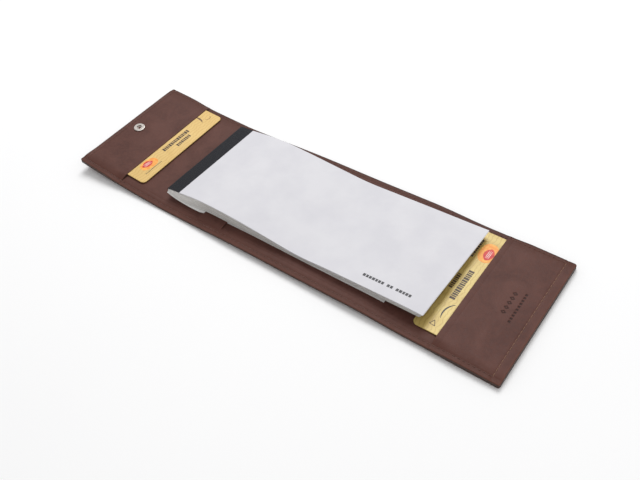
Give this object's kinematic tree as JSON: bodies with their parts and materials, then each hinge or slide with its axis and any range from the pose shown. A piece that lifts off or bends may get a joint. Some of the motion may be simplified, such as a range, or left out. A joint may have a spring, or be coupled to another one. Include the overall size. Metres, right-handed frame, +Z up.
{
  "type": "long wallet",
  "caption": "Long leather wallet lying open: snap flap and folding leaf, each with a card pocket, and between them a cheque pad held by a strap.",
  "frame": {"origin": "centre of the open wallet's outline, on the surface it lies on", "axes": "+X along the strip from the snap flap to the plain end, +Y across it to the far long edge, +Z up out of the open inside"},
  "size_m": [0.344, 0.1, 0.0107],
  "materials": {
    "outer_leather": "grained, satin",
    "lining_leather": "smooth grain, satin",
    "thread": "waxed thread",
    "nickel": "polished nickel",
    "staple_wire": "bright wire",
    "card_pale_gold": "satin gold print",
    "card_yellow_gold": "satin gold print",
    "tape_cloth": "matt cloth tape",
    "cover_paper": "matt coated paper",
    "back_card": "matt card",
    "page_paper": "matt paper, cut edges"
  },
  "bodies": {
    "middle": {"outer_leather_middle": "outer_leather", "lining_middle": "lining_leather", "pad_strap": "lining_leather", "pad_strap_hems": "lining_leather", "stitching_middle": "thread"},
    "left_spine": {"outer_leather_left_spine": "outer_leather", "lining_left_spine": "lining_leather", "stitching_left_spine": "thread"},
    "flap": {"outer_leather_flap": "outer_leather", "lining_flap": "lining_leather", "pocket_left": "lining_leather", "pocket_left_hem": "lining_leather", "stitching_flap": "thread", "snap_socket": "nickel", "snap_spring": "nickel", "snap_socket_eyelet": "nickel"},
    "right_spine": {"outer_leather_right_spine": "outer_leather", "lining_right_spine": "lining_leather", "stitching_right_spine": "thread"},
    "right_panel": {"outer_leather_right_panel": "outer_leather", "lining_right_panel": "lining_leather", "pocket_right": "lining_leather", "pocket_right_hem": "lining_leather", "stitching_right_panel": "thread", "snap_stud": "nickel", "snap_stud_rivet": "nickel", "snap_stud_washer": "nickel"},
    "card_left_body": {"card_left": "card_pale_gold"},
    "card_right_body": {"card_right": "card_yellow_gold"},
    "pad": {"pad_pages_left": "page_paper", "pad_back_cover_left": "back_card", "pad_tape": "tape_cloth", "pad_staples": "staple_wire"},
    "pad_right": {"pad_pages_right": "page_paper", "pad_back_cover_right": "back_card"},
    "pad_cover": {"pad_cover_left": "cover_paper"},
    "pad_cover_fold": {"pad_cover_right": "cover_paper"}
  },
  "joints": [
    {"name": "left_fold", "type": "hinge", "parent": "middle", "child": "left_spine", "pos_m": [-0.0916, 0, 0.0023], "axis": [0, 1, 0], "range_deg": [-2, 85.9]},
    {"name": "flap_fold", "type": "hinge", "parent": "left_spine", "child": "flap", "pos_m": [-0.11414, 0, 0.00392], "axis": [0, 1, 0], "range_deg": [-2.2, 90]},
    {"name": "right_fold", "type": "hinge", "parent": "middle", "child": "right_spine", "pos_m": [0.032, 0, 0.0023], "axis": [0, -1, 0], "range_deg": [0, 89.18]},
    {"name": "right_panel_fold", "type": "hinge", "parent": "right_spine", "child": "right_panel", "pos_m": [0.0489, 0, 0.00255], "axis": [0, -1, 0], "range_deg": [0, 90.01]},
    {"name": "pad_slide", "type": "slide", "parent": "middle", "child": "pad", "axis": [1, 0, 0], "range_m": [-0.005, 0]},
    {"name": "pad_fold", "type": "hinge", "parent": "pad", "child": "pad_right", "pos_m": [0.015, 0, 0.0098], "axis": [0, -1, 0], "range_deg": [0, 179.17]},
    {"name": "cover_open", "type": "hinge", "parent": "pad", "child": "pad_cover", "pos_m": [-0.07885, 0, 0.0106], "axis": [0, 1, 0], "range_deg": [-150, 0]},
    {"name": "cover_fold", "type": "hinge", "parent": "pad_cover", "child": "pad_cover_fold", "pos_m": [0.015, 0, 0.0098], "axis": [0, -1, 0], "range_deg": [0, 179.18]},
    {"name": "card_left_slide", "type": "slide", "parent": "flap", "child": "card_left_body", "axis": [-0.9974, 0, 0.0715], "range_m": [-0.017, 0]},
    {"name": "card_right_slide", "type": "slide", "parent": "right_panel", "child": "card_right_body", "axis": [0.9999, 0, 0.0145], "range_m": [-0.02, 0]}
  ],
  "couplings": [
    {"joint": "flap_fold", "follows": "left_fold", "ratio": 1.0477},
    {"joint": "right_fold", "follows": "pad_fold", "ratio": 0.49767},
    {"joint": "right_panel_fold", "follows": "pad_fold", "ratio": 0.50233},
    {"joint": "cover_fold", "follows": "pad_fold", "ratio": 1}
  ]
}
